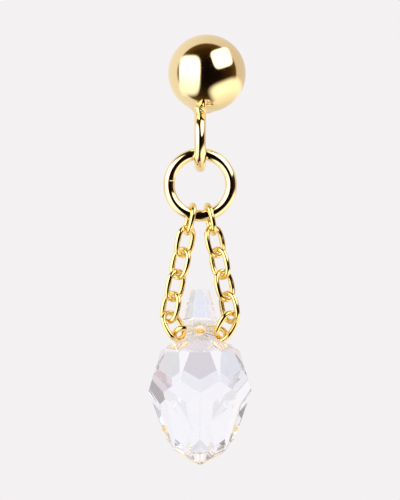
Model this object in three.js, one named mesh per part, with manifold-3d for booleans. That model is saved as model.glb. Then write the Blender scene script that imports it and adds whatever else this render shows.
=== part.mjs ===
// Drop earring: a polished ball on an ear post, a jump ring, a fine cable chain and a cut glass drop.
// Millimetres, +Z up. The origin is where the ear post leaves the back of the ball.
// The front of the earring faces -Y, and the post points back along +Y into the ear.

import * as THREE from 'three';
import { mergeVertices } from 'three/addons/utils/BufferGeometryUtils.js';
import Module from 'manifold-3d';

const wasm = await Module();
wasm.setup();

// Ball stud
const ballDiameter = 4.0;
const postDiameter = 0.8;
const postLength = 11.0;
const loopDiameter = 3.3; // across the outside of the wire loop under the ball
const loopWire = 0.6;
const loopReach = 3.08; // from the bottom of the ball to the bottom of the loop
const solderWidth = 1.5; // the solder that climbs from the loop onto the ball
const solderDrop = 0.42; // how far it runs down over the loop's top

// The loop is soldered a little to the left of the ball's middle, and all that hangs follows it.
const hangOffset = -0.35;

// Jump ring
const ringDiameter = 3.8;
const ringWire = 0.6;

// Cable chain
const linkLength = 1.76;
const linkWidth = 1.32;
const linkWire = 0.28;
const straightLinks = 5; // links on each side that hang in line
const hookSpread = 0.47; // from the middle of the ring to each first link
const mouthAngle = 60; // degrees above level at which the chain comes out of the crystal

const linkTurn = 45; // degrees that links are turned about their length, one way and then the other
const hookTurn = 78; // the same for the first link, which stands nearly square to the ring

// Cut crystal: widths are across the stone, heights and drops are from the axis of its hole.
const facetCount = 8;
const holeDiameter = 1.6;
const tableWidth = 0.96;
const tableHeight = 2.32;
const neckWidth = 2.26;
const neckDrop = 0.17;
const shoulderWidth = 4.06;
const shoulderDrop = 0.84;
const kiteTopWidth = 1.03; // the straight top edge of each upper kite facet
const starDrop = 2.15; // foot of the narrow facets between the upper kites
const girdleWidth = 5.32; // the widest part, across the points of the upper kites
const girdleDrop = 2.9;
const keelWidth = 3.6; // across the points of the lower kites
const keelDrop = 5.28;
const footWidth = 2.36; // across the upper points of the last row
const footDrop = 6.1;
const tipDrop = 6.72;

// Clearances between pieces that hang in one another
const ringGap = 0.05; // between the ring and the wires that it touches
const linkGap = 0.04; // between two links in line
const bendGap = 0.16; // between two links where the chain bends

// Fineness of the round pieces
const ballSides = 16;
const postSides = 12;
const roundSides = 16; // segments round a loop or ring
const roundWireSides = 8;
const linkSides = 12; // segments round a link
const linkWireSides = 6;
const holeSides = 12;

// How far one solid is sunk into the next where both are one piece of metal or glass
const sink = 0.2;

const goldPlated = () => new THREE.MeshStandardMaterial({ color: 0xe3bf78, roughness: 0.15, metalness: 1 });
const cutGlass = () => new THREE.MeshStandardMaterial({
  color: 0xecebf2, roughness: 0.03, metalness: 0, flatShading: true,
});

// Worked out from the sizes above
const ballRadius = ballDiameter / 2;
const ballCentreY = -ballRadius;
const loopWireZ = -ballRadius - loopReach + loopWire / 2;
const ringBend = (ringDiameter - ringWire) / 2; // radius to the middle of the wire
const ringCentreZ = loopWireZ + loopWire / 2 + ringGap + ringWire / 2 - ringBend;
const linkBend = (linkWidth - linkWire) / 2;
const linkReach = (linkLength - linkWire) / 2; // middle of a link to the middle of its end wire
const pitch = linkLength - 2 * linkWire - linkGap;
const hookWireZ = ringCentreZ - Math.sqrt(ringBend ** 2 - hookSpread ** 2);
const bendReach = linkReach - (linkWire + bendGap) / 2; // middle of a link to where the chain bends
const firstDrop = linkReach - (ringWire / 2 + ringGap + linkWire / 2);
const straightRun = firstDrop + (straightLinks - 1) * pitch + bendReach;
const mouth = THREE.MathUtils.degToRad(mouthAngle);
const mouthX = pitch / 2 + bendReach; // where the chain bends into the hole
const slantX = 2 * bendReach * Math.cos(mouth);
const slantZ = 2 * bendReach * Math.sin(mouth);
const lean = Math.asin((mouthX + slantX - hookSpread) / straightRun);
const holeZ = hookWireZ - straightRun * Math.cos(lean) - slantZ;

// A closed geometry as a solid that can be joined and cut. Triangles that shrink to a line at the
// axis of a turned shape are left out.
function solidFrom(geometry) {
  const shell = geometry.clone();
  shell.deleteAttribute('normal');
  shell.deleteAttribute('uv');
  const merged = mergeVertices(shell);
  const corners = merged.index.array;
  const triangles = [];
  for (let i = 0; i < corners.length; i += 3) {
    const [a, b, c] = corners.slice(i, i + 3);
    if (a !== b && b !== c && c !== a) triangles.push(a, b, c);
  }
  return new wasm.Manifold(new wasm.Mesh({
    numProp: 3,
    vertProperties: new Float32Array(merged.attributes.position.array),
    triVerts: new Uint32Array(triangles),
  }));
}

function geometryFrom(solid) {
  const { vertProperties, triVerts } = solid.getMesh();
  const geometry = new THREE.BufferGeometry();
  geometry.setAttribute('position', new THREE.BufferAttribute(vertProperties, 3));
  geometry.setIndex(new THREE.BufferAttribute(triVerts, 1));
  geometry.computeVertexNormals();
  return geometry;
}

function namedMesh(name, geometry, material) {
  const mesh = new THREE.Mesh(geometry, material);
  mesh.name = name;
  return mesh;
}

// A wire bent into a ring about Z, with the middle of one of its straight segments at the very
// bottom, so that what hangs there has the full inner radius.
function wireRing(bend, wire, wireSides, sides) {
  const halfStep = Math.PI / sides;
  const ring = new THREE.TorusGeometry(bend / Math.cos(halfStep), wire / 2, wireSides, sides);
  return ring.rotateZ(Math.PI / 2 + halfStep);
}

// The post is turned about Y, with a rounded tip, and starts inside the ball.
function postGeometry() {
  const radius = postDiameter / 2;
  const profile = [
    new THREE.Vector2(0, -sink),
    new THREE.Vector2(radius, -sink),
    new THREE.Vector2(radius, postLength - radius),
    new THREE.Vector2(radius * Math.SQRT1_2, postLength - radius * (1 - Math.SQRT1_2)),
    new THREE.Vector2(0, postLength),
  ];
  return new THREE.LatheGeometry(profile, postSides);
}

// Solder that draws in from the ball down to the loop's wire.
function solderGeometry() {
  const radius = solderWidth / 2;
  const seatZ = -Math.sqrt(ballRadius ** 2 - radius ** 2);
  const neck = (radius + loopWire / 2) / 2;
  const profile = [
    new THREE.Vector2(0, -ballRadius - solderDrop),
    new THREE.Vector2(loopWire / 2, -ballRadius - solderDrop),
    new THREE.Vector2(neck, -ballRadius - solderDrop / 3),
    new THREE.Vector2(radius, seatZ),
    new THREE.Vector2(radius, seatZ + sink),
    new THREE.Vector2(0, seatZ + sink),
  ];
  return new THREE.LatheGeometry(profile, postSides).rotateX(Math.PI / 2);
}

function ballStud() {
  const ball = new THREE.SphereGeometry(ballRadius, ballSides, ballSides / 2)
    .translate(0, ballCentreY, 0);
  const bend = (loopDiameter - loopWire) / 2;
  const loop = wireRing(bend, loopWire, roundWireSides, roundSides)
    .rotateX(Math.PI / 2)
    .rotateZ(Math.PI / 2)
    .translate(hangOffset, ballCentreY, loopWireZ + bend);
  const solder = solderGeometry().translate(hangOffset, ballCentreY, 0);
  const solid = solidFrom(ball)
    .add(solidFrom(postGeometry()))
    .add(solidFrom(loop))
    .add(solidFrom(solder));
  return namedMesh('ball_stud', geometryFrom(solid), goldPlated());
}

function jumpRing() {
  const geometry = wireRing(ringBend, ringWire, roundWireSides, roundSides).rotateX(Math.PI / 2);
  const mesh = namedMesh('jump_ring', geometry, goldPlated());
  mesh.position.set(hangOffset, ballCentreY, ringCentreZ);
  return mesh;
}

// A long link along Y: a round one pulled apart at its waist, so its sides run straight.
function linkGeometry() {
  const geometry = wireRing(linkBend, linkWire, linkWireSides, linkSides);
  const pull = (linkLength - linkWidth) / 2;
  const position = geometry.attributes.position;
  for (let i = 0; i < position.count; i += 1) {
    position.setY(i, position.getY(i) + Math.sign(position.getY(i)) * pull);
  }
  return geometry;
}

// Middles and directions of one side's links, from the ring down and into the hole.
// side is -1 on the left and 1 on the right; an angle of 0 points straight down.
function linkPlaces(side) {
  const along = (angle) => new THREE.Vector3(side * Math.sin(angle), 0, -Math.cos(angle));
  const places = [];
  const middle = new THREE.Vector3(side * hookSpread, 0, hookWireZ)
    .addScaledVector(along(lean), firstDrop);
  for (let i = 0; i < straightLinks; i += 1) {
    places.push({ middle: middle.clone(), along: along(lean) });
    middle.addScaledVector(along(lean), pitch);
  }
  places.push({
    middle: new THREE.Vector3(side * (mouthX + slantX / 2), 0, holeZ + slantZ / 2),
    along: along(mouth - Math.PI / 2),
  });
  places.push({ middle: new THREE.Vector3(side * pitch / 2, 0, holeZ), along: along(-Math.PI / 2) });
  return places;
}

function chainSide(side, sideName) {
  const depth = new THREE.Vector3(0, 1, 0);
  return linkPlaces(side).map((place, i) => {
    const turn = i === 0 ? hookTurn : linkTurn * (-1) ** i;
    const facing = depth.clone().applyAxisAngle(place.along, THREE.MathUtils.degToRad(turn));
    const across = place.along.clone().cross(facing);
    const link = namedMesh(`chain_link_${sideName}_${i + 1}`, linkGeometry(), goldPlated());
    link.quaternion.setFromRotationMatrix(new THREE.Matrix4().makeBasis(across, place.along, facing));
    link.position.copy(place.middle).add(new THREE.Vector3(hangOffset, ballCentreY, 0));
    return link;
  });
}

// One row of facets as the pyramid that its planes enclose, between two drops below the hole's axis.
// The planes pass through two half widths, each given at its own drop. A row is turned half a facet
// where its facets stand between those of the row above.
function facetRow(upper, lower, turned, top, bottom) {
  const slope = (lower.half - upper.half) / (lower.drop - upper.drop);
  const halfAt = (drop) => Math.max(upper.half + slope * (drop - upper.drop), 0);
  const corner = Math.cos(Math.PI / facetCount);
  const start = turned ? 0 : Math.PI / facetCount;
  const pyramid = new THREE.CylinderGeometry(
    halfAt(top) / corner, halfAt(bottom) / corner, bottom - top, facetCount, 1, false, start);
  return solidFrom(pyramid.rotateX(Math.PI / 2).translate(0, 0, -(top + bottom) / 2));
}

// A cut stone: the rows of its body meet in flat kites and long facets, the neck stands on top.
function crystalDrop() {
  const corner = Math.cos(Math.PI / facetCount);
  const at = (drop, half) => ({ drop, half });
  const shoulder = at(shoulderDrop, shoulderWidth / 2);
  const girdle = at(girdleDrop, girdleWidth / 2);
  const keel = at(keelDrop, keelWidth / 2);
  const foot = at(footDrop, footWidth / 2);
  const starTop = shoulder.half * corner + (kiteTopWidth / 2) * Math.sin(Math.PI / facetCount);
  const kiteSlope = (girdle.half - shoulder.half) / (girdle.drop - shoulder.drop);
  const starFoot = (shoulder.half + kiteSlope * (starDrop - shoulder.drop)) / corner;
  const neckFoot = at(neckDrop, neckWidth / 2);
  const rows = [
    [neckFoot, shoulder, false],
    [shoulder, girdle, false],
    [at(shoulderDrop, starTop), at(starDrop, starFoot), true],
    [at(girdle.drop, girdle.half * corner), at(keel.drop, keel.half * corner), true],
    [keel, foot, false],
    [at(foot.drop, foot.half * corner), at(tipDrop, 0), true],
  ];
  const body = rows
    .map(([upper, lower, turned]) => facetRow(upper, lower, turned, neckDrop - sink, tipDrop))
    .reduce((stone, row) => stone.intersect(row));
  const neck = facetRow(at(-tableHeight, tableWidth / 2), neckFoot, false, -tableHeight, shoulderDrop);
  const drillRadius = holeDiameter / 2 / Math.cos(Math.PI / holeSides);
  const drill = new THREE.CylinderGeometry(drillRadius, drillRadius, shoulderWidth * 2, holeSides)
    .rotateZ(Math.PI / 2);
  const stone = body.add(neck).subtract(solidFrom(drill));
  const mesh = namedMesh('crystal_drop', geometryFrom(stone), cutGlass());
  mesh.position.set(hangOffset, ballCentreY, holeZ);
  return mesh;
}

const earring = new THREE.Group();
earring.name = 'earring';
earring.add(ballStud(), jumpRing(), ...chainSide(-1, 'left'), ...chainSide(1, 'right'), crystalDrop());

export default earring;
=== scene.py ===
"""Looks of a drop earring: a polished ball stud, a jump ring, a fine cable chain and a cut crystal drop.

Every length in the classes is in millimetres, in the frame's axes: +Z up, -Y to the front and +X to the
right as seen from the front. The meshes are made in millimetres and written in metres.
"""

import itertools
import logging
import math
from dataclasses import dataclass
from enum import Enum

import bpy
import numpy as np
from bpy.types import ID, Material, Node, NodeTree, Object
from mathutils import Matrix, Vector


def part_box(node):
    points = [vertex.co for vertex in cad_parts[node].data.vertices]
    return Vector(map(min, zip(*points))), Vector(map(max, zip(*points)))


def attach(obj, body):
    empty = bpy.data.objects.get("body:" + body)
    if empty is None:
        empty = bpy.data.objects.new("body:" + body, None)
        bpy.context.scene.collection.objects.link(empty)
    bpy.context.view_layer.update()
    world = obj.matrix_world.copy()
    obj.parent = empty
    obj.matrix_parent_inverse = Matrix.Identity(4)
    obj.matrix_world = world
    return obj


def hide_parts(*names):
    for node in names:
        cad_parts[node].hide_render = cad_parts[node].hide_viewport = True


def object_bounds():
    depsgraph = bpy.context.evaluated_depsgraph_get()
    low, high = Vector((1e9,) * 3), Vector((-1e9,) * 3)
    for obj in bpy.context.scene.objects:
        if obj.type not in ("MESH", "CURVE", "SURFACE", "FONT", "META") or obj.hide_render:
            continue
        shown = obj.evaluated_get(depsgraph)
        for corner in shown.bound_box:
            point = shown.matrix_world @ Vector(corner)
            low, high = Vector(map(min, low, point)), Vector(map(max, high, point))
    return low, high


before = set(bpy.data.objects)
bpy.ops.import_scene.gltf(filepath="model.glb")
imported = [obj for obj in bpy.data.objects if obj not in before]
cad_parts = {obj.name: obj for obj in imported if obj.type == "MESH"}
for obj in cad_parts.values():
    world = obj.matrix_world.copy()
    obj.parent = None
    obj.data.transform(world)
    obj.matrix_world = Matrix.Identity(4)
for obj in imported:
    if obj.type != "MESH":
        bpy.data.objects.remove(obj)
CAD_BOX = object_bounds()

MM = 0.001
LOG = logging.getLogger("earring")
X_AXIS, Y_AXIS, Z_AXIS = np.eye(3)

RGBA = {"data_type": "RGBA"}
SMOOTH = {"interpolation_type": "SMOOTHSTEP"}

Stops = tuple[tuple[float, str], ...]
Span = tuple[float, float]


def linear(code: str, times: float = 1.0) -> tuple[float, float, float, float]:
    """Turns an sRGB hex colour into the linear colour that a shader takes.

    Args:
        code: Six hex digits, such as "F4E3B6".
        times: How many times as bright it gets.

    Returns:
        Red, green and blue as linear light, and 1 for alpha.
    """
    shares = np.array([int(code[i:i + 2], 16) for i in (0, 2, 4)]) / 255.0
    light = np.where(shares <= 0.04045, shares / 12.92, ((shares + 0.055) / 1.055) ** 2.4)
    return (*(float(x) for x in light * times), 1.0)


def add_node(tree: NodeTree, kind: str, settings: dict | None = None,
             inputs: dict | None = None, stops: Stops = ()) -> Node:
    """Adds one node, with its settings, its plain values and its links.

    Args:
        tree: The node tree that takes the node.
        kind: The type name of a shader node, without ShaderNode in front.
        settings: Attributes of the node and their values.
        inputs: Input sockets by name or number. A value is set as it is. A node is linked by its
            first output in use, and a pair of a node and an output's name by that output.
        stops: Places from 0 to 1, rising, and the sRGB hex colour at each, if it has a row of colours.

    Returns:
        The new node.
    """
    node = tree.nodes.new(f"ShaderNode{kind}")
    for name, value in (settings or {}).items():
        setattr(node, name, value)
    for name, value in (inputs or {}).items():
        if isinstance(value, Node):
            tree.links.new(next(output for output in value.outputs if output.enabled), node.inputs[name])
        elif isinstance(value, tuple) and isinstance(value[0], Node):
            tree.links.new(value[0].outputs[value[1]], node.inputs[name])
        else:
            node.inputs[name].default_value = value
    for number, (place, colour) in enumerate(stops):
        row = node.color_ramp.elements
        stop = row[number] if number < len(row) else row.new(place)
        stop.position, stop.color = place, linear(colour)
    return node


def start_material(name: str) -> tuple[Material, NodeTree]:
    """Starts a material.

    Args:
        name: What the material is.

    Returns:
        The material and its node tree, which is empty.
    """
    made = bpy.data.materials.new(name)
    made.use_nodes = True
    made.node_tree.nodes.clear()
    return made, made.node_tree


def add_object(name: str, data: ID) -> Object:
    """Makes an object at the origin and shows it in the scene.

    Args:
        name: The object's name.
        data: Its mesh, camera or light.

    Returns:
        The object.
    """
    made = bpy.data.objects.new(name, data)
    bpy.context.scene.collection.objects.link(made)
    return made


@dataclass
class Patch:
    """A closed skin worked out on a grid: rows run along the shape, columns run round it.

    Attributes:
        points: Rows by columns by three, in millimetres.
        ring: True if the last row meets the first, False if both ends close in a point.
        solder: How much each row is solder, from 0 to 1.
    """

    points: np.ndarray
    ring: bool = False
    solder: np.ndarray | None = None

    def corners(self) -> tuple[np.ndarray, np.ndarray]:
        """Lists the skin's points, with the two that close its ends, and how much each is solder.

        Returns:
            The points in millimetres, and their solder.
        """
        rows, columns = self.points.shape[:2]
        points = self.points.reshape(-1, 3)
        share = np.repeat(np.zeros(rows) if self.solder is None else self.solder, columns)
        if self.ring:
            return points, share
        ends = self.points[[0, -1]].mean(axis=1)
        return np.vstack([points, ends]), np.concatenate([share, share[[0, -1]]])

    def lengths(self) -> tuple[np.ndarray, np.ndarray]:
        """Measures the grid, so that a pattern on it has its real scale.

        Returns:
            The distance along the rows' middles, and the distance round the columns, both in
            millimetres and both with one value more than a wrapped side has points.
        """
        middle = self.points.mean(axis=1)
        middle = np.vstack([middle, middle[:1]]) if self.ring else middle
        along = np.concatenate([[0.0], np.cumsum(np.linalg.norm(np.diff(middle, axis=0), axis=1))])
        around_points = np.concatenate([self.points, self.points[:, :1]], axis=1)
        steps = np.linalg.norm(np.diff(around_points, axis=1), axis=2).max(axis=0)
        return along, np.concatenate([[0.0], np.cumsum(steps)])

    def faces(self) -> list[tuple[np.ndarray, np.ndarray]]:
        """Joins neighbours on the grid into faces that point outwards.

        Returns:
            The squares and, where the ends close in a point, two fans of triangles. Each is a pair
            of arrays: the corners' numbers, and the corners' places on the skin in millimetres.
        """
        rows, columns = self.points.shape[:2]
        along, around = self.lengths()
        row = np.arange(rows if self.ring else rows - 1)[:, None]
        column = np.arange(columns)[None, :]
        steps = ((0, 0), (0, 1), (1, 1), (1, 0))
        numbers = [(row + down) % rows * columns + (column + over) % columns for down, over in steps]
        places = [np.stack(np.broadcast_arrays(along[row + down], around[column + over]), -1)
                  for down, over in steps]
        made = [(np.stack(numbers, -1).reshape(-1, 4), np.stack(places, -2).reshape(-1, 4, 2))]
        if not self.ring:
            index = np.arange(columns)
            beyond = (index + 1) % columns
            first, last = rows * columns, (rows - 1) * columns
            start = np.stack([np.full(columns, first), beyond, index], -1)
            end = np.stack([np.full(columns, first + 1), last + index, last + beyond], -1)
            for fan, edge in ((start, along[0]), (end, along[-1])):
                spot = np.stack([np.full(columns, edge), around[:-1]], -1)
                made.append((fan, np.repeat(spot[:, None], 3, axis=1)))
        if self.volume(made) < 0:
            made = [(corners[:, ::-1], spots[:, ::-1]) for corners, spots in made]
        return made

    def volume(self, faces: list[tuple[np.ndarray, np.ndarray]]) -> float:
        """Sums the signed tetrahedra from the origin to each face.

        Args:
            faces: Pairs of corner numbers and corner places, as faces() gives them.

        Returns:
            The volume in cubic millimetres, below 0 if the faces point inwards.
        """
        points = self.corners()[0]
        total = 0.0
        for corners, _ in faces:
            for beside in range(1, corners.shape[1] - 1):
                a, b, c = (points[corners[:, i]] for i in (0, beside, beside + 1))
                total += float(np.einsum("ij,ij->", a, np.cross(b, c))) / 6.0
        return total


def make_piece(name: str, patches: list[Patch], material: Material) -> Object:
    """Writes the patches of one piece into one smooth mesh in metres, with its own coordinates.

    Args:
        name: The piece's name.
        patches: The closed skins that make it.
        material: Its finish.

    Returns:
        The piece, at the origin.
    """
    points, solder, corners, places, counts = [], [], [], [], []
    start = 0
    for patch in patches:
        some, share = patch.corners()
        for numbers, spots in patch.faces():
            corners.append((numbers + start).ravel())
            places.append(spots.ravel())
            counts.append(np.full(len(numbers), numbers.shape[1]))
        points.append(some)
        solder.append(share)
        start += len(some)
    sizes = np.concatenate(counts)
    mesh = bpy.data.meshes.new(name)
    mesh.vertices.add(start)
    mesh.vertices.foreach_set("co", (np.vstack(points) * MM).astype(np.float32).ravel())
    mesh.loops.add(int(sizes.sum()))
    mesh.loops.foreach_set("vertex_index", np.concatenate(corners).astype(np.int32))
    mesh.polygons.add(len(sizes))
    mesh.polygons.foreach_set("loop_start", (np.cumsum(sizes) - sizes).astype(np.int32))
    mesh.polygons.foreach_set("use_smooth", np.ones(len(sizes), bool))
    mesh.update(calc_edges=True)
    layer = mesh.uv_layers.new(name="surface_mm")
    layer.data.foreach_set("uv", np.concatenate(places).astype(np.float32))
    attribute = mesh.attributes.new("solder", "FLOAT", "POINT")
    attribute.data.foreach_set("value", np.concatenate(solder).astype(np.float32))
    mesh.materials.append(material)
    return add_object(name, mesh)


def full_turn(steps: int) -> np.ndarray:
    """Gives equal angles once round a circle, in radians from 0."""
    return np.arange(steps) * 2 * np.pi / steps


def circled(angle: np.ndarray, first: np.ndarray, second: np.ndarray) -> np.ndarray:
    """Gives cosine of each angle along the first direction plus sine of it along the second."""
    return np.cos(angle)[:, None] * first + np.sin(angle)[:, None] * second


def circle_round(path: np.ndarray, tangent: np.ndarray, facing: np.ndarray, radius: np.ndarray,
                 sides: int) -> np.ndarray:
    """Carries a round section along a flat path.

    A point is the path's point plus the section's radius times (cosine of its angle along the side
    direction, plus sine of its angle along the direction that the path's plane faces).

    Args:
        path: Points of the centre line, in millimetres.
        tangent: Its direction at each point, of length 1.
        facing: The direction that the path's plane faces.
        radius: The section's radius at each point.
        sides: Points round the section.

    Returns:
        A grid of path points by sides by three.
    """
    side = np.cross(tangent, facing)
    angle = full_turn(sides)
    outward = np.cos(angle)[None, :, None] * side[:, None, :] + np.sin(angle)[None, :, None] * facing
    return path[:, None, :] + radius[:, None, None] * outward


def turned(profile: np.ndarray, centre: np.ndarray, axis: np.ndarray, sides: int) -> np.ndarray:
    """Turns a profile about an axis, as on a lathe.

    A point is the centre, plus its height along the axis, plus its radius times (cosine of the
    column's angle along one cross direction, plus sine of it along the other). The first is square
    to the axis, and to the one of X, Y and Z that the axis follows least.

    Args:
        profile: Rows of radius and height, in millimetres.
        centre: A point on the axis.
        axis: The axis' direction, of length 1.
        sides: Columns round the axis.

    Returns:
        A grid of profile rows by sides by three.
    """
    first = np.cross(axis, np.eye(3)[np.abs(axis).argmin()])
    first /= np.linalg.norm(first)
    outward = circled(full_turn(sides), first, np.cross(axis, first))
    return centre + profile[:, 0, None, None] * outward + profile[:, 1, None, None] * axis


def node_box(node: str) -> tuple[np.ndarray, np.ndarray]:
    """Gives a CAD node's lowest and highest corners in millimetres."""
    low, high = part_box(node)
    return np.array(low) / MM, np.array(high) / MM


class Surface(Enum):
    """How a piece of the plated brass was made, which sets the marks under the plating.

    A value holds the coordinates that the marks follow, the length, width and depth of one mark in
    those coordinates' own unit, and how many finer sizes of mark lie in it. Real scratches and lines
    are under 0.01 mm wide. These are coarser, so that they show.
    """

    TUMBLED = ("Object", (0.07 * MM, 0.07 * MM, 0.07 * MM), 4.0)
    DRAWN = ("UV", (2.0, 0.05, 1.0), 2.0)


@dataclass(frozen=True)
class GoldPlatedBrass:
    """Brass with about 0.001 mm of bright gold on it, electroplated on a polished surface.

    It gives the eye a mirror in pale yellow that turns a deep amber where it mirrors itself, with
    soft ripples, fine marks and duller skin where the solder ran.
    """

    name: str = "gold_plated_brass"
    plate: str = "F8E6B8"
    thin_plate: str = "F5DCA4"
    solder: str = "F2DCA6"
    cloud_mm: float = 1.6
    cloud_detail: float = 3.0
    ripple_mm: float = 0.7
    ripple_detail: float = 1.5
    ripple_height_mm: float = 0.0011
    mark_height_mm: float = 0.00033
    mark_strength: float = 0.25
    roughness: float = 0.055
    worn_roughness: float = 0.13
    worn_from: Span = (0.45, 0.75)
    solder_roughness: float = 0.24

    def material(self, surface: Surface) -> Material:
        """Builds the finish.

        Args:
            surface: How the piece was made.

        Returns:
            The material.
        """
        made, tree = start_material(f"{self.name}_{surface.name.lower()}")
        place = add_node(tree, "TexCoord")
        solder = add_node(tree, "Attribute", {"attribute_name": "solder"})
        cloud = add_node(tree, "TexNoise", {}, {
            "Vector": (place, "Object"), "Scale": 1 / (self.cloud_mm * MM),
            "Detail": self.cloud_detail})
        tone = add_node(tree, "Mix", RGBA, {0: cloud, 6: linear(self.plate), 7: linear(self.thin_plate)})
        colour = add_node(tree, "Mix", RGBA, {0: (solder, "Fac"), 6: tone, 7: linear(self.solder)})
        followed, mark, detail = surface.value
        laid = add_node(tree, "Mapping", {}, {
            "Vector": (place, followed), "Scale": tuple(1 / size for size in mark)})
        marks = add_node(tree, "TexNoise", {}, {"Vector": laid, "Scale": 1.0, "Detail": detail})
        polish = add_node(tree, "MapRange", {}, {
            "Value": marks, "From Min": self.worn_from[0], "From Max": self.worn_from[1],
            "To Min": self.roughness, "To Max": self.worn_roughness})
        rough = add_node(tree, "Mix", {"data_type": "FLOAT"}, {
            0: (solder, "Fac"), 2: polish, 3: self.solder_roughness})
        ripple = add_node(tree, "TexNoise", {}, {
            "Vector": (place, "Object"), "Scale": 1 / (self.ripple_mm * MM),
            "Detail": self.ripple_detail})
        wavy = add_node(tree, "Bump", {}, {
            "Strength": 1.0, "Distance": self.ripple_height_mm * MM, "Height": ripple})
        marked = add_node(tree, "Bump", {}, {
            "Strength": self.mark_strength, "Distance": self.mark_height_mm * MM,
            "Height": marks, "Normal": wavy})
        shader = add_node(tree, "BsdfPrincipled", {}, {
            "Base Color": colour, "Metallic": 1.0, "Roughness": rough, "Normal": marked})
        add_node(tree, "OutputMaterial", {}, {"Surface": shader})
        return made


@dataclass(frozen=True)
class GlassSkin:
    """How one surface of the glass was made.

    Attributes:
        name: Its material's name.
        tint: The sRGB hex colour that it has in places, where it isn't clear.
        grain_mm: The size of one wave or pit.
        detail: How many finer sizes lie in it.
        height_mm: How high the waves or pits are.
        relief: How much of that height shows, from 0 to 1.
        roughness: How dull it is.
        glow: The colours of its painted glow, light that the glass gives off though it is no lamp, from
            left to right over the stone's span for it.
        painted_glow_past_last: How strong that painted glow is on paths that mirror more often than is
            followed.
        painted_glow_always: How strong the painted glow is on every path.
    """

    name: str
    tint: str
    grain_mm: float
    detail: float
    height_mm: float
    relief: float
    roughness: float
    glow: Stops
    painted_glow_past_last: float
    painted_glow_always: float = 0.0


@dataclass(frozen=True)
class CrystalGlass:
    """Clear cut crystal glass: pressed to shape, then its facets ground and polished.

    It gives the eye bright facets that bend and mirror what is round them, with a faint cool tint.
    The drilled hole is left as the drill ground it: white, dull and slightly pitted. It glows a pale
    gold on every path: painted light that stands in for light from the gold chain scattered in it.
    Where facets mirror inside more often than the renderer follows, the glass glows with painted
    light, grey with orange and blue in it and darker towards the right, so that the stone doesn't
    turn black there. The pits of a diamond drill are under 0.02 mm wide. These are coarser, so that
    they show.
    """

    clear: str = "FEFDFF"
    ior: float = 1.54
    # How often paths may mirror before the glass glows with painted light, and the span across the stone
    # that the painted glow's colours run over, left to right.
    most_mirrored: float = 3.5
    painted_glow_span_mm: Span = (-2.2, 1.2)
    # The facets' painted glow: pale blue on the left, then orange, then darker grey towards the right, on
    # paths past those that are followed.
    polished: GlassSkin = GlassSkin(
        "cut_crystal_glass", tint="F8F7FC", grain_mm=1.4, detail=1.0, height_mm=0.0016, relief=1.0,
        roughness=0.0, painted_glow_past_last=0.4,
        glow=((0.0, "DCE6F2"), (0.2647, "E3CDB4"), (0.5588, "D9D2D6"), (1.0, "7E828E")))
    # The hole's painted glow: pale gold on every path, standing in for light from the chain scattered in
    # it, and stronger on paths past those that are followed.
    ground: GlassSkin = GlassSkin(
        "ground_crystal_glass", tint="F7F6F8", grain_mm=0.05, detail=3.0, height_mm=0.0035, relief=0.6,
        roughness=0.09, painted_glow_past_last=0.7, painted_glow_always=0.19, glow=((0.0, "EBCF96"), (1.0, "EBCF96")))

    def material(self, skin: GlassSkin) -> Material:
        """Builds the finish of one of the glass' surfaces.

        Args:
            skin: How the surface was made.

        Returns:
            The material.
        """
        made, tree = start_material(skin.name)
        place = add_node(tree, "TexCoord")
        grain = add_node(tree, "TexNoise", {}, {
            "Vector": (place, "Object"), "Scale": 1 / (skin.grain_mm * MM), "Detail": skin.detail})
        tint = add_node(tree, "Mix", RGBA, {0: grain, 6: linear(self.clear), 7: linear(skin.tint)})
        relief = add_node(tree, "Bump", {}, {
            "Strength": skin.relief, "Distance": skin.height_mm * MM, "Height": grain})
        # Painted light: the glass glows in the skin's colours from left to right across the stone.
        parts = add_node(tree, "SeparateXYZ", {}, {"Vector": (place, "Object")})
        left, right = self.painted_glow_span_mm
        across = add_node(tree, "MapRange", {}, {
            "Value": (parts, "X"), "From Min": left * MM, "From Max": right * MM})
        glow = add_node(tree, "ValToRGB", {}, {"Fac": across}, skin.glow)
        # Painted light: the glow is on where paths mirror more often than is followed, and on every path by
        # the skin's share.
        path = add_node(tree, "LightPath")
        cut_off = add_node(tree, "Math", {"operation": "GREATER_THAN"}, {
            0: (path, "Glossy Depth"), 1: self.most_mirrored})
        strength = add_node(tree, "Math", {"operation": "MULTIPLY_ADD"}, {
            0: cut_off, 1: skin.painted_glow_past_last, 2: skin.painted_glow_always})
        shader = add_node(tree, "BsdfPrincipled", {}, {
            "Base Color": tint, "Roughness": skin.roughness, "IOR": self.ior,
            "Transmission Weight": 1.0, "Normal": relief,
            "Emission Color": glow, "Emission Strength": strength})
        made.cycles.emission_sampling = "NONE"
        add_node(tree, "OutputMaterial", {}, {"Surface": shader})
        return made


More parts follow.
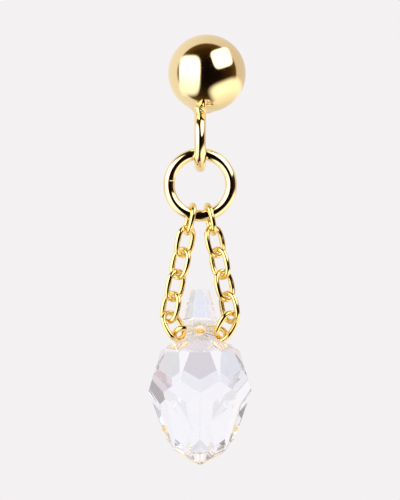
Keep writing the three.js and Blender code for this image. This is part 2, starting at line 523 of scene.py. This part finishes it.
@dataclass
class BallStud:
    """The polished ball with its ear post behind and its wire loop below, soldered into one."""

    finish: GoldPlatedBrass
    ball_diameter: float = 4.0
    ball_rows: int = 96
    ball_columns: int = 160
    post_diameter: float = 0.8
    post_tip: float = 0.35
    post_root: float = 1.0
    post_rows: int = 40
    tip_rows: int = 10
    post_sides: int = 48
    fillet: float = 0.3
    fillet_rows: int = 14
    fillet_sunk: float = 0.01
    loop_diameter: float = 3.3
    loop_wire: float = 0.6
    loop_reach: float = 3.08
    loop_steps: int = 160
    loop_sides: int = 32
    hang_offset: float = -0.35
    solder_width: float = 1.3
    solder_length: float = 1.9
    solder_turn: float = 0.72
    solder_side: float = 2.0
    solder_rows: int = 30
    solder_columns: int = 96
    # How deep the solder starts inside the ball and ends inside the wire.
    ball_sunk: float = 0.02
    wire_sunk: float = 0.03
    # Its middle guide points: off the first across, along and down, and then above the wire at
    # these shares of the last one's angles.
    hollow: tuple[float, float, float] = (0.24, 0.26, 0.20)
    lean_off: float = 0.02
    lean_turn: float = 0.8
    lean_side: float = 0.6
    lump: float = 0.06
    lump_start: float = 0.6
    lumps: int = 3
    wet_from: float = 0.6
    wet_fade: float = 0.3
    wet_share: float = 0.7

    def ball(self) -> Patch:
        """Works out the ball: a half circle from one pole to the other, turned about Z.

        Returns:
            The ball, behind its front by a radius and level with the post.
        """
        radius = self.ball_diameter / 2
        angle = np.linspace(0.0, np.pi, self.ball_rows + 2)[1:-1]
        profile = radius * np.stack([np.sin(angle), -np.cos(angle)], -1)
        return Patch(turned(profile, -radius * Y_AXIS, Z_AXIS, self.ball_columns))

    def post(self) -> Patch:
        """Works out the post: a straight pin from inside the ball, with a rounded tip.

        The tip's profile is a quarter circle from the pin's side to a small flat end.

        Returns:
            The post.
        """
        radius = self.post_diameter / 2
        end = node_box("ball_stud")[1][1]
        angle = np.linspace(0.0, np.pi / 2, self.tip_rows)
        tip = np.stack([radius - self.post_tip * (1 - np.cos(angle)),
                        end - self.post_tip * (1 - np.sin(angle))], -1)
        height = np.linspace(-self.post_root, end - self.post_tip, self.post_rows + 1)[:-1]
        shank = np.stack([np.full(self.post_rows, radius), height], -1)
        return Patch(turned(np.vstack([shank, tip]), np.zeros(3), Y_AXIS, self.post_sides))

    def post_solder(self) -> Patch:
        """Works out the fillet round the post: its radius falls to the post's by a quarter circle.

        Returns:
            The fillet, with its edges just inside the ball and the post.
        """
        radius, reach, sunk = self.post_diameter / 2, self.ball_diameter / 2, self.fillet_sunk
        share = np.linspace(0.0, 1.0, self.fillet_rows)
        start = math.sqrt(reach ** 2 - (radius + self.fillet) ** 2) - reach - 3 * sunk
        height = start + (self.fillet + 2 * sunk) * share
        width = radius - sunk + (self.fillet + sunk) * (1 - np.sin(share * np.pi / 2))
        grid = turned(np.stack([width, height], -1), np.zeros(3), Y_AXIS, self.post_sides)
        return Patch(grid, solder=np.ones(self.fillet_rows))

    def on_loop(self, turn: np.ndarray, side: np.ndarray, radius: float) -> np.ndarray:
        """Gives points round the loop's wire, which is bent round a circle in the upright YZ plane.

        A point is the loop's middle plus (the bend plus the radius times cosine of the side angle)
        along the turned arm, plus the radius times sine of the side angle along X.

        Args:
            turn: Angles round the loop from its top, in radians.
            side: Angles round the wire from its outer side, in radians.
            radius: Distance from the wire's middle, in millimetres.

        Returns:
            The points, in millimetres.
        """
        bend = (self.loop_diameter - self.loop_wire) / 2
        middle = -self.ball_diameter / 2 - self.loop_reach + self.loop_wire / 2 + bend
        reach = bend + radius * np.cos(side)
        return np.stack([self.hang_offset + radius * np.sin(side),
                         reach * np.sin(turn) - self.ball_diameter / 2,
                         middle + reach * np.cos(turn)], -1)

    def loop(self) -> Patch:
        """Works out the loop of round wire, wet with solder at its top.

        Returns:
            The loop.
        """
        turn, side = full_turn(self.loop_steps), full_turn(self.loop_sides)
        grid = self.on_loop(*np.meshgrid(turn, side, indexing="ij"), self.loop_wire / 2)
        wet = np.clip((np.cos(turn) - self.wet_from) / self.wet_fade, 0.0, 1.0)
        return Patch(grid, ring=True, solder=self.wet_share * wet)

    def loop_solder(self) -> Patch:
        """Works out the solder under the ball, a saddle between the ball and the top of the loop.

        A column is a cubic curve with four guide points. It starts just inside the ball, on an oval
        about the loop, and ends just inside the wire, on an oval of the angle round the loop and the
        angle round the wire. The middle guide points lie off both surfaces, so the curve is hollow,
        and it wavers with the column's angle.

        Returns:
            The saddle.
        """
        reach, wire = self.ball_diameter / 2, self.loop_wire / 2
        angle = full_turn(self.solder_columns)
        across, along = np.cos(angle), np.sin(angle)
        wide = 1 + self.lump * np.sin(self.lumps * angle + self.lump_start)
        x = self.hang_offset + self.solder_width / 2 * wide * across
        y = self.solder_length / 2 * wide * along
        depth = np.sqrt((reach - self.ball_sunk) ** 2 - x ** 2 - y ** 2)
        first = np.stack([x, y - reach, -depth], -1)
        inward = np.stack([across, along, np.ones(self.solder_columns)], -1) * np.array(self.hollow)
        second = first - inward * wide[:, None]
        turn, side = self.solder_turn * along, self.solder_side * across
        third = self.on_loop(self.lean_turn * turn, self.lean_side * side, wire + self.lean_off)
        last = self.on_loop(turn, side, wire - self.wire_sunk)
        share = np.linspace(0.0, 1.0, self.solder_rows)[:, None, None]
        curve = ((1 - share) ** 3 * first + 3 * share * (1 - share) ** 2 * second
                 + 3 * share ** 2 * (1 - share) * third + share ** 3 * last)
        return Patch(curve, solder=np.ones(self.solder_rows))

    def build(self) -> Object:
        """Makes the stud as one piece and hangs it on its body.

        Returns:
            The stud.
        """
        patches = [self.ball(), self.post(), self.post_solder(), self.loop(), self.loop_solder()]
        piece = make_piece("polished_ball_stud", patches, self.finish.material(Surface.TUMBLED))
        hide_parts("ball_stud")
        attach(piece, "stud")
        return piece


@dataclass
class JumpRing:
    """The round ring that carries both ends of the chain, cut and closed with a hairline seam."""

    finish: GoldPlatedBrass
    wire: float = 0.6
    sides: int = 36
    steps: int = 198
    seam: float = 0.016
    seam_angle: float = 172.0
    edge: float = 0.02
    edge_rows: int = 6

    def surface(self) -> Patch:
        """Works out the ring: a round section carried round a circle, from one seam face to the other.

        The first and last rows draw in by a quarter circle, so the seam's edges are rounded.

        Returns:
            The ring.
        """
        low, high = node_box("jump_ring")
        bend = (high[0] - low[0] - self.wire) / 2
        start = math.radians(self.seam_angle)
        quarter = np.linspace(0.0, np.pi / 2, self.edge_rows)
        slip = (self.seam / 2 + self.edge * (1 - np.cos(quarter))) / bend
        drawn = self.wire / 2 - self.edge * (1 - np.sin(quarter))
        first, last = start + slip, start + 2 * np.pi - slip[::-1]
        between = np.linspace(first[-1], last[0], self.steps + 2)[1:-1]
        turn = np.concatenate([first, between, last])
        radius = np.concatenate([drawn, np.full(self.steps, self.wire / 2), drawn[::-1]])
        path = (low + high) / 2 + bend * circled(turn, X_AXIS, Z_AXIS)
        return Patch(circle_round(path, circled(turn, Z_AXIS, -X_AXIS), Y_AXIS, radius, self.sides))

    def build(self) -> Object:
        """Makes the ring and hangs it on its body.

        Returns:
            The ring.
        """
        piece = make_piece("round_jump_ring", [self.surface()], self.finish.material(Surface.DRAWN))
        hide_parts("jump_ring")
        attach(piece, "ring")
        return piece


@dataclass
class ChainLink:
    """One oval link of the cable chain, which takes its place and direction from its CAD node."""

    node: str
    material: Material
    length: float = 1.76
    width: float = 1.32
    wire: float = 0.28
    steps: int = 72
    sides: int = 20
    waist: float = 3.0
    weld: float = 0.07
    weld_spread: float = 0.16
    weld_solder: float = 0.6
    # Decimals of a millimetre that are kept, so that corners in one place count once.
    decimals: int = 5

    def axes(self) -> tuple[np.ndarray, np.ndarray, np.ndarray, np.ndarray]:
        """Finds how the node lies: its points spread most along it, and least to where it faces.

        Returns:
            The middle, and the directions along, across and facing, each of length 1.
        """
        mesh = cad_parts[self.node].data
        flat = np.empty(len(mesh.vertices) * 3, np.float32)
        mesh.vertices.foreach_get("co", flat)
        points = np.unique((flat.reshape(-1, 3).astype(float) / MM).round(self.decimals), axis=0)
        middle = (points.max(axis=0) + points.min(axis=0)) / 2
        directions = np.linalg.eigh((points - middle).T @ (points - middle))[1]
        along, across = directions[:, 2], directions[:, 1]
        return middle, along, across, np.cross(along, across)

    def surface(self) -> Patch:
        """Works out the link: a round section carried round an oval.

        The oval is a circle whose two halves are pulled apart along the link. The pull is the
        hyperbolic tangent of the waist times the sine of the angle, so the sides stay slightly
        bowed. The wire thickens by a narrow bell curve where the link was soldered shut.

        Returns:
            The link.
        """
        middle, along, across, facing = self.axes()
        turn = full_turn(self.steps)
        bend = (self.width - self.wire) / 2
        pull = (self.length - self.width) / 2 / math.tanh(self.waist)
        x, z = bend * np.cos(turn), bend * np.sin(turn) + pull * np.tanh(self.waist * np.sin(turn))
        steep = self.waist * np.cos(turn) / np.cosh(self.waist * np.sin(turn)) ** 2
        dx, dz = -bend * np.sin(turn), bend * np.cos(turn) + pull * steep
        tangent = dx[:, None] * across + dz[:, None] * along
        tangent /= np.linalg.norm(tangent, axis=1, keepdims=True)
        bell = np.exp(-(np.minimum(turn, 2 * np.pi - turn) / self.weld_spread) ** 2)
        path = middle + x[:, None] * across + z[:, None] * along
        radius = self.wire / 2 * (1 + self.weld * bell)
        grid = circle_round(path, tangent, facing, radius, self.sides)
        return Patch(grid, ring=True, solder=self.weld_solder * bell)

    def build(self) -> Object:
        """Makes the link and hangs it on its body.

        Returns:
            The link.
        """
        piece = make_piece(self.node.replace("chain_link", "oval_link"), [self.surface()], self.material)
        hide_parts(self.node)
        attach(piece, "drop")
        return piece


@dataclass
class CableChain:
    """The chain's two strands, each from the jump ring down to the hole in the stone."""

    finish: GoldPlatedBrass
    links: int = 7
    top_width: float = 1.43

    def build(self) -> list[Object]:
        """Makes the links of both strands.

        The two top links are a little wider than the others, so that they clear the ring's wire
        when the drop swings.

        Returns:
            The links, the left strand's first and each strand's from the top.
        """
        material = self.finish.material(Surface.DRAWN)
        made = []
        for side, number in itertools.product(("left", "right"), range(1, self.links + 1)):
            link = ChainLink(f"chain_link_{side}_{number}", material)
            link.width = self.top_width if number == 1 else link.width
            made.append(link.build())
        return made


@dataclass(frozen=True)
class FacetRow:
    """A ring of equal facets: each is a plane through two level lines, given by drop and reach.

    Attributes:
        top: How far the upper line lies below the hole's axis.
        top_reach: How far the upper line lies from the stone's axis.
        foot: How far the lower line lies below the hole's axis.
        foot_reach: How far the lower line lies from the stone's axis.
        half_step: True if the facets stand between those of the row above.
    """

    top: float
    top_reach: float
    foot: float
    foot_reach: float
    half_step: bool = False


@dataclass
class CrystalDrop:
    """The cut drop: a flat table, a drilled neck, a flared shoulder, kites, mains and a pointed foot."""

    finish: CrystalGlass
    facets_round: int = 8
    hole_diameter: float = 1.6
    hole_sides: int = 96
    table_width: float = 0.96
    table_height: float = 2.32
    neck_width: float = 2.26
    neck_drop: float = 0.17
    shoulder_width: float = 4.06
    shoulder_drop: float = 0.84
    kite_top_width: float = 1.03
    star_drop: float = 2.15
    girdle_width: float = 5.32
    girdle_drop: float = 2.9
    keel_width: float = 3.6
    keel_drop: float = 5.28
    foot_width: float = 2.36
    foot_drop: float = 6.1
    tip_drop: float = 6.72
    edge: float = 0.018
    edge_steps: int = 2
    least_crease: float = 4.0
    # Tolerance for corners before they are rounded, the decimals of a millimetre that they are
    # rounded to, and the tolerance after it.
    exact: float = 1e-6
    decimals: int = 6
    near: float = 1e-4

    def hole_middle(self) -> np.ndarray:
        """Gives the middle of the drilled hole: on the node's axis, below its top by the table's height."""
        low, high = node_box("crystal_drop")
        return np.array([(low[0] + high[0]) / 2, (low[1] + high[1]) / 2, high[2] - self.table_height])

    def outward(self, turn: float) -> np.ndarray:
        """Gives the level directions of a row of facets, of length 1.

        Args:
            turn: How far the row is turned from the front, in facets.

        Returns:
            One direction for each facet, round by round from the front.
        """
        start = turn * 2 * np.pi / self.facets_round
        return circled(full_turn(self.facets_round) + start, -Y_AXIS, X_AXIS)

    def rows(self) -> list[FacetRow]:
        """Lists the rows of the body, with neighbours sharing their lines.

        Returns:
            The rows, from the neck down.
        """
        corner = math.cos(math.pi / self.facets_round)
        shoulder, girdle = self.shoulder_width / 2, self.girdle_width / 2
        keel, foot = self.keel_width / 2, self.foot_width / 2
        star_top = shoulder * corner + self.kite_top_width / 2 * math.sin(math.pi / self.facets_round)
        kite_slope = (girdle - shoulder) / (self.girdle_drop - self.shoulder_drop)
        star_foot = (shoulder + kite_slope * (self.star_drop - self.shoulder_drop)) / corner
        return [
            FacetRow(self.neck_drop, self.neck_width / 2, self.shoulder_drop, shoulder),
            FacetRow(self.shoulder_drop, shoulder, self.girdle_drop, girdle),
            FacetRow(self.shoulder_drop, star_top, self.star_drop, star_foot, True),
            FacetRow(self.girdle_drop, girdle * corner, self.keel_drop, keel * corner, True),
            FacetRow(self.keel_drop, keel, self.foot_drop, foot),
            FacetRow(self.foot_drop, foot * corner, self.tip_drop, 0.0, True),
        ]

    def planes(self) -> tuple[np.ndarray, np.ndarray]:
        """Works out the planes that the body lies inside, the level top of the body last.

        A facet's direction is its level direction times the row's fall, plus Z times the row's
        spread, made 1 long.

        Returns:
            Each plane's outward direction of length 1, and its distance from the hole's middle.
        """
        normals, distances = [], []
        for row in self.rows():
            fall, spread = row.foot - row.top, row.foot_reach - row.top_reach
            size = math.hypot(fall, spread)
            normals.append((self.outward(0.5 if row.half_step else 0.0) * fall + Z_AXIS * spread) / size)
            distances.append(np.full(self.facets_round, (row.top_reach * fall - row.top * spread) / size))
        return np.vstack([*normals, Z_AXIS]), np.append(np.concatenate(distances), -self.neck_drop)

    def body(self) -> tuple[np.ndarray, list[list[int]]]:
        """Finds the body's corners and facets.

        A corner is a point where three planes meet and that no other plane cuts off. A facet is the
        corners on one plane, in the order of their angle round the facet's middle.

        Returns:
            Corners in millimetres from the hole's middle, and the facets without the level top.
        """
        normals, distances = self.planes()
        threes = np.array(list(itertools.combinations(range(len(normals)), 3)))
        threes = threes[np.abs(np.linalg.det(normals[threes])) > self.exact]
        points = np.linalg.solve(normals[threes], distances[threes][..., None])[..., 0]
        inside = (points @ normals.T - distances < self.exact).all(axis=1)
        corners = np.unique(points[inside].round(self.decimals), axis=0)
        facets = []
        for normal, distance in zip(normals[:-1], distances[:-1]):
            on_plane = np.flatnonzero(np.abs(corners @ normal - distance) < self.near)
            if len(on_plane) < 3:
                continue
            arm = corners[on_plane] - corners[on_plane].mean(axis=0)
            first = arm[0] / np.linalg.norm(arm[0])
            angle = np.arctan2(arm @ np.cross(normal, first), arm @ first)
            facets.append(on_plane[np.argsort(angle)].tolist())
        return corners, facets

    def solid(self) -> tuple[np.ndarray, list[list[int]]]:
        """Adds the neck to the body: a ring of facets from the table's corners to the neck's.

        Returns:
            Corners in millimetres from the hole's middle, and facets that point outwards.
        """
        corners, facets = self.body()
        arm = self.outward(0.5) / 2 / math.cos(math.pi / self.facets_round)
        table = arm * self.table_width + Z_AXIS * self.table_height
        foot = arm * self.neck_width - Z_AXIS * self.neck_drop
        shared = np.linalg.norm(corners[:, None] - foot[None], axis=2).argmin(axis=0)
        top = len(corners) + np.arange(self.facets_round)
        neck = np.stack([top, shared, np.roll(shared, -1), np.roll(top, -1)], -1)
        return np.vstack([corners, table]), facets + neck.tolist() + [top.tolist()]

    def drill(self, material: Material) -> Object:
        """Makes the drill: a plain cylinder along X, longer than the stone is wide.

        Args:
            material: The finish that it leaves in the hole.

        Returns:
            The drill.
        """
        radius = self.hole_diameter / 2
        profile = np.array([[radius, -self.girdle_width], [radius, self.girdle_width]])
        grid = turned(profile, self.hole_middle(), X_AXIS, self.hole_sides)
        return make_piece("drill", [Patch(grid)], material)

    def build(self) -> Object:
        """Makes the stone: its edges are eased, then the hole is drilled, and it hangs on its body.

        Returns:
            The stone.
        """
        corners, facets = self.solid()
        mesh = bpy.data.meshes.new("cut_crystal_drop")
        mesh.from_pydata(((corners + self.hole_middle()) * MM).tolist(), [], facets)
        polished = self.finish.material(self.finish.polished)
        ground = self.finish.material(self.finish.ground)
        mesh.materials.append(polished)
        mesh.materials.append(ground)
        piece = add_object("cut_crystal_drop", mesh)
        eased = piece.modifiers.new("eased_edges", "BEVEL")
        eased.width, eased.segments = self.edge * MM, self.edge_steps
        eased.limit_method, eased.angle_limit = "ANGLE", math.radians(self.least_crease)
        drill = self.drill(ground)
        cut = piece.modifiers.new("drilled_hole", "BOOLEAN")
        cut.operation, cut.solver, cut.material_mode, cut.object = "DIFFERENCE", "EXACT", "TRANSFER", drill
        seen = piece.evaluated_get(bpy.context.evaluated_depsgraph_get())
        finished = bpy.data.meshes.new_from_object(seen)
        piece.modifiers.clear()
        piece.data = finished
        bpy.data.objects.remove(drill)
        slots = np.zeros(len(finished.polygons), np.int32)
        finished.polygons.foreach_get("material_index", slots)
        finished.polygons.foreach_set("use_smooth", slots == finished.materials.find(ground.name))
        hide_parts("crystal_drop")
        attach(piece, "drop")
        return piece


@dataclass(frozen=True)
class Panel:
    """One bright area round the earring, placed as a mirror ball seen from the front shows it.

    Attributes:
        centre: Across and up on the ball's face, as shares of its radius.
        half: Half its width and height, as shares of the radius.
        turn: How far it is turned, in degrees.
        colour: Its colour as sRGB hex.
        strength: How many times as bright as that colour its top is.
        foot: The same for its foot.
        edge: The width of its soft edge, as a share of its half size.
    """

    centre: Span
    half: Span
    turn: float
    colour: str
    strength: float
    foot: float
    edge: float = 0.12

    def over(self, tree: NodeTree, ball: Node, seen: Node) -> Node:
        """Adds the panel in front of what is there: a square with round corners and a soft edge.

        A place lies inside where the fourth powers of its distances across and up, in half sizes,
        sum to less than 1.

        Args:
            tree: The world's node tree.
            ball: The node that gives the direction's place on the mirror ball.
            seen: The node that gives the light behind the panel.

        Returns:
            The node that gives the light with the panel in it.
        """
        local = add_node(tree, "Mapping", {"vector_type": "TEXTURE"}, {
            "Vector": ball, "Location": (self.centre[0], 0.0, self.centre[1]),
            "Rotation": (0.0, math.radians(self.turn), 0.0), "Scale": (self.half[0], 1.0, self.half[1])})
        square = add_node(tree, "VectorMath", {"operation": "MULTIPLY"}, {0: local, 1: local})
        reach = add_node(tree, "VectorMath", {"operation": "LENGTH"}, {0: square})
        mask = add_node(tree, "MapRange", SMOOTH, {
            "Value": reach, "From Min": (1 + self.edge) ** 2, "From Max": (1 - self.edge) ** 2})
        parts = add_node(tree, "SeparateXYZ", {}, {"Vector": local})
        height = add_node(tree, "MapRange", SMOOTH, {
            "Value": (parts, "Z"), "From Min": -1.0, "From Max": 1.0})
        glow = add_node(tree, "Mix", RGBA, {
            0: height, 6: linear(self.colour, self.foot), 7: linear(self.colour, self.strength)})
        return add_node(tree, "Mix", RGBA, {0: mask, 6: seen, 7: glow})


@dataclass(frozen=True)
class Card:
    """One round card that the cut glass shows, with a soft edge.

    Attributes:
        way: The direction to its middle, of length 1.
        reach: Its radius, as the distance between two directions of length 1.
        colour: Its colour as sRGB hex.
        core: The share of its radius that has its full colour.
    """

    way: tuple[float, float, float]
    reach: float
    colour: str
    core: float = 0.7

    def over(self, tree: NodeTree, way: Node, seen: Node) -> Node:
        """Adds the card in front of what is there.

        Args:
            tree: The world's node tree.
            way: The node that gives the direction.
            seen: The node that gives the light behind the card.

        Returns:
            The node that gives the light with the card in it.
        """
        off = add_node(tree, "VectorMath", {"operation": "DISTANCE"}, {0: way, 1: self.way})
        share = add_node(tree, "MapRange", SMOOTH, {
            "Value": off, "From Min": self.reach, "From Max": self.reach * self.core})
        return add_node(tree, "Mix", RGBA, {0: share, 6: seen, 7: linear(self.colour)})


@dataclass(frozen=True)
class MirroredRoom:
    """What polished metal shows: bright panels in a dark room in front, and a pale sweep all round."""

    room_reach: float = 0.8
    room: Stops = ((0.0, "0C0704"), (0.4375, "1A1008"), (0.75, "3A280F"), (1.0, "6E5024"))
    sweep_reach: float = 0.8
    sweep: Stops = ((0.0, "FAF6F2"), (1.0, "E2D8D0"))
    sweep_start: float = 0.735
    sweep_edge: float = 0.045
    panels: tuple[Panel, ...] = (
        Panel((-0.44, -0.07), (0.26, 0.49), 2.0, "FFFFFF", 2.9, 1.3, 0.16),
        Panel((0.375, 0.38), (0.24, 0.245), -20.0, "FFFFFF", 2.3, 2.3),
        Panel((0.56, -0.54), (0.40, 0.32), -24.0, "FFF8EA", 1.7, 0.8, 0.3),
    )

    def light(self, tree: NodeTree) -> Node:
        """Adds the light by its place on a mirror ball seen from the front.

        A direction's place is the direction plus the way to the camera, made 1 long: that is the
        ball's normal where it mirrors the direction into the camera.

        Args:
            tree: The world's node tree.

        Returns:
            The node that gives the light.
        """
        direction = add_node(tree, "TexCoord")
        halfway = add_node(tree, "VectorMath", {"operation": "ADD"}, {
            0: (direction, "Generated"), 1: (0.0, -1.0, 0.0)})
        normal = add_node(tree, "VectorMath", {"operation": "NORMALIZE"}, {0: halfway})
        ball = add_node(tree, "VectorMath", {"operation": "MULTIPLY"}, {0: normal, 1: (1.0, 0.0, 1.0)})
        reach = add_node(tree, "VectorMath", {"operation": "LENGTH"}, {0: ball})
        inner = add_node(tree, "MapRange", {}, {"Value": reach, "From Max": self.room_reach})
        room = add_node(tree, "ValToRGB", {}, {"Fac": inner}, self.room)
        parts = add_node(tree, "SeparateXYZ", {}, {"Vector": ball})
        across = add_node(tree, "MapRange", {}, {
            "Value": (parts, "X"), "From Min": -self.sweep_reach, "From Max": self.sweep_reach})
        sweep = add_node(tree, "ValToRGB", {}, {"Fac": across}, self.sweep)
        edge = add_node(tree, "MapRange", SMOOTH, {
            "Value": reach, "From Min": self.sweep_start, "From Max": self.sweep_start + self.sweep_edge})
        light = add_node(tree, "Mix", RGBA, {0: edge, 6: room, 7: sweep})
        for panel in self.panels:
            light = panel.over(tree, ball, light)
        return light


@dataclass(frozen=True)
class BentLight:
    """What cut glass shows: pale all round, with tinted cards, alike in front and behind.

    Glass spreads colours where it bends light past the edge of something, and this shader doesn't,
    so the cards have those colours themselves. All is a little brighter than the backdrop, for what
    the facets mirror away. Heights run from 0 straight down to 1 straight up.
    """

    gain: float = 1.03
    heights: Stops = (
        (0.0, "DDD8DB"), (0.10, "E6E1E5"), (0.25, "F2EFF2"), (0.32, "F0EEF2"), (0.35, "EBF0F9"),
        (0.50, "F3F2F6"), (0.80, "F3F3F5"))
    cards: tuple[Card, ...] = (
        Card((0.00, 0.91, -0.415), 0.10, "DDD8DE"),
        Card((0.44, 0.79, -0.43), 0.11, "DCDCDC"),
        Card((-0.43, 0.78, -0.45), 0.11, "E6E8EF"),
        Card((0.71, 0.70, 0.03), 0.34, "DBCDD2"),
        Card((0.71, 0.70, 0.03), 0.18, "9C9698"),
        Card((-0.67, 0.52, -0.53), 0.20, "D6B795"),
        Card((0.74, 0.42, -0.52), 0.20, "4C505C"),
        Card((0.90, 0.28, -0.34), 0.14, "666A74"),
        Card((-0.94, 0.05, 0.33), 0.24, "C9CBD6"),
        Card((0.97, 0.02, -0.22), 0.14, "B9B4BA"),
        Card((0.10, 0.20, 0.97), 0.30, "C6C2C8"),
    )

    def light(self, tree: NodeTree) -> Node:
        """Adds the light by its direction.

        Args:
            tree: The world's node tree.

        Returns:
            The node that gives the light.
        """
        direction = add_node(tree, "TexCoord")
        parts = add_node(tree, "SeparateXYZ", {}, {"Vector": (direction, "Generated")})
        behind = add_node(tree, "Math", {"operation": "ABSOLUTE"}, {0: (parts, "Y")})
        folded = add_node(tree, "CombineXYZ", {}, {"X": (parts, "X"), "Y": behind, "Z": (parts, "Z")})
        up = add_node(tree, "MapRange", {}, {"Value": (parts, "Z"), "From Min": -1.0, "From Max": 1.0})
        light = add_node(tree, "ValToRGB", {}, {"Fac": up}, self.heights)
        for card in self.cards:
            light = card.over(tree, folded, light)
        return add_node(tree, "VectorMath", {"operation": "SCALE"}, {0: light, "Scale": self.gain})


@dataclass(frozen=True)
class MattPaint:
    """Matt white paint, rolled on the floor: it gives the eye an even pale tone and a soft shadow.

    It turns into the plain backdrop with distance from the middle, so that no horizon shows.
    """

    colour: str = "F2EFF0"
    fade: Span = (14.0, 60.0)

    def material(self, backdrop: str) -> Material:
        """Builds the finish.

        Args:
            backdrop: The backdrop's colour as sRGB hex.

        Returns:
            The material.
        """
        made, tree = start_material("matt_white_paint")
        place = add_node(tree, "TexCoord")
        reach = add_node(tree, "VectorMath", {"operation": "LENGTH"}, {0: (place, "Object")})
        share = add_node(tree, "MapRange", SMOOTH, {
            "Value": reach, "From Min": self.fade[0] * MM, "From Max": self.fade[1] * MM})
        matt = add_node(tree, "BsdfDiffuse", {}, {"Color": linear(self.colour)})
        plain = add_node(tree, "Emission", {}, {"Color": linear(backdrop)})
        mixed = add_node(tree, "MixShader", {}, {0: share, 1: matt, 2: plain})
        add_node(tree, "OutputMaterial", {}, {"Surface": mixed})
        return made


@dataclass
class Studio:
    """A plain pale floor and backdrop, soft light all round and the camera."""

    backdrop: str = "F4F1F2"
    soft_light: str = "DDDADB"
    metal_light: MirroredRoom = MirroredRoom()
    glass_light: BentLight = BentLight()
    paint: MattPaint = MattPaint()
    lamp_place: tuple[float, float, float] = (-50.0, -60.0, 110.0)
    lamp_width: float = 60.0
    lamp_watts: float = 0.06
    floor_gap: float = 7.0
    floor_radius: float = 260.0
    floor_sides: int = 96
    lens: float = 300.0
    sensor: float = 36.0
    fill: float = 0.87
    clip: Span = (1.0, 5000.0)

    def camera(self) -> None:
        """Aims a long lens straight at the earring's front, so that it fills most of the height."""
        low, high = (np.array(corner) / MM for corner in CAD_BOX)
        away = (high[2] - low[2]) / self.fill * self.lens / self.sensor
        front = node_box("ball_stud")[0][1]
        data = bpy.data.cameras.new("front_camera")
        data.lens, data.sensor_width = self.lens, self.sensor
        data.clip_start, data.clip_end = self.clip[0] * MM, self.clip[1] * MM
        made = add_object("front_camera", data)
        made.location = Vector(((low[0] + high[0]) / 2, front - away, (low[2] + high[2]) / 2)) * MM
        made.rotation_euler = (math.pi / 2, 0.0, 0.0)
        bpy.context.scene.camera = made

    def floor(self) -> None:
        """Makes the floor: a flat disc below the tip. Metal and glass don't show it."""
        ring = full_turn(self.floor_sides)
        height = np.full(self.floor_sides, CAD_BOX[0][2] / MM - self.floor_gap)
        points = np.stack([self.floor_radius * np.cos(ring), self.floor_radius * np.sin(ring), height], -1)
        mesh = bpy.data.meshes.new("studio_floor")
        mesh.from_pydata((points * MM).tolist(), [], [list(range(self.floor_sides))])
        mesh.materials.append(self.paint.material(self.backdrop))
        made = add_object("studio_floor", mesh)
        made.visible_glossy = made.visible_transmission = False

    def lamp(self) -> None:
        """Hangs a soft square lamp above, for the floor's shadow. Metal and glass don't show it."""
        data = bpy.data.lights.new("soft_overhead_lamp", "AREA")
        data.size, data.energy = self.lamp_width * MM, self.lamp_watts
        made = add_object("soft_overhead_lamp", data)
        made.location = Vector(self.lamp_place) * MM
        made.rotation_euler = (-made.location).to_track_quat("-Z", "Y").to_euler()
        made.visible_glossy = made.visible_transmission = made.visible_camera = False

    def surroundings(self) -> None:
        """Builds the light all round, which metal, glass, paint and the camera each see their own way."""
        world = bpy.data.worlds.new("studio_surroundings")
        bpy.context.scene.world = world
        world.use_nodes = True
        tree = world.node_tree
        tree.nodes.clear()
        ray = add_node(tree, "LightPath")
        light = self.metal_light.light(tree)
        others = (("Is Transmission Ray", self.glass_light.light(tree)),
                  ("Is Diffuse Ray", linear(self.soft_light)), ("Is Camera Ray", linear(self.backdrop)))
        for kind, other in others:
            light = add_node(tree, "Mix", RGBA, {0: (ray, kind), 6: light, 7: other})
        glow = add_node(tree, "Background", {}, {"Color": light, "Strength": 1.0})
        add_node(tree, "OutputWorld", {}, {"Surface": glow})

    def build(self) -> None:
        """Makes the camera, the floor and the light, and shows colours as they are."""
        self.camera()
        self.floor()
        self.lamp()
        self.surroundings()
        bpy.context.scene.view_settings.view_transform = "Standard"


def main() -> None:
    """Builds the studio and the earring, piece by piece, and reports each."""
    Studio().build()
    gold = GoldPlatedBrass()
    chain_gold = GoldPlatedBrass("yellow_gold_plated_brass", plate="F6E09E", thin_plate="F2D384")
    pieces = [BallStud(gold).build(), JumpRing(gold).build(), *CableChain(chain_gold).build()]
    pieces.append(CrystalDrop(CrystalGlass()).build())
    for piece in pieces:
        LOG.info("%s: %d faces", piece.name, len(piece.data.polygons))


if __name__ == "__main__":
    logging.basicConfig(level=logging.INFO)
    main()
